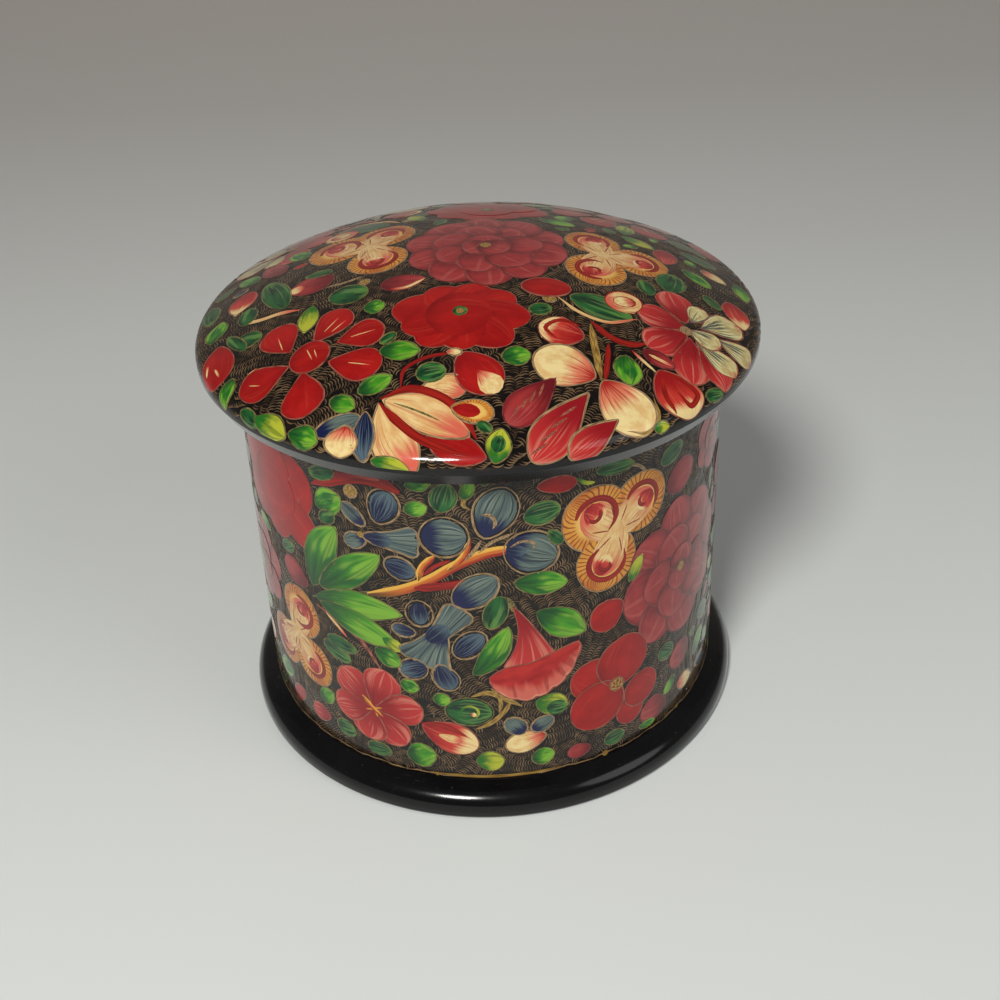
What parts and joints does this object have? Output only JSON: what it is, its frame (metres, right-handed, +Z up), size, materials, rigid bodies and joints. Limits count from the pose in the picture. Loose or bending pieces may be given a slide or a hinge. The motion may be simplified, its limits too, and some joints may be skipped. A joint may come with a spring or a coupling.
{
  "type": "trinket box",
  "caption": "Round lacquered papier-mache trinket box with a painted floral wall, a domed lift-off lid and a flared foot.",
  "frame": {"origin": "centre of the foot's flat underside, on the surface the box stands on", "axes": "+Z up along the box's axis; the side seen from the front in the picture faces -Y"},
  "size_m": [0.08, 0.08, 0.072],
  "materials": {
    "black_lacquer": "high gloss black lacquer over pressed pulp",
    "inner_lacquer": "satin dark brown lacquer over moulded pulp",
    "painted_paper": "hand painted flowers under clear gloss varnish"
  },
  "bodies": {
    "box": {"foot": "black_lacquer", "floor_board": "inner_lacquer", "wall_core": "inner_lacquer", "wall_skin": "painted_paper"},
    "lid": {"lid_board": "inner_lacquer", "lid_collar": "inner_lacquer", "lid_hoop": "black_lacquer", "dome_core": "inner_lacquer", "dome_skin": "painted_paper"}
  },
  "joints": [
    {"name": "lid_lift", "type": "slide", "parent": "box", "child": "lid", "axis": [0, 0, 1], "range_m": [0, 0.07]}
  ]
}
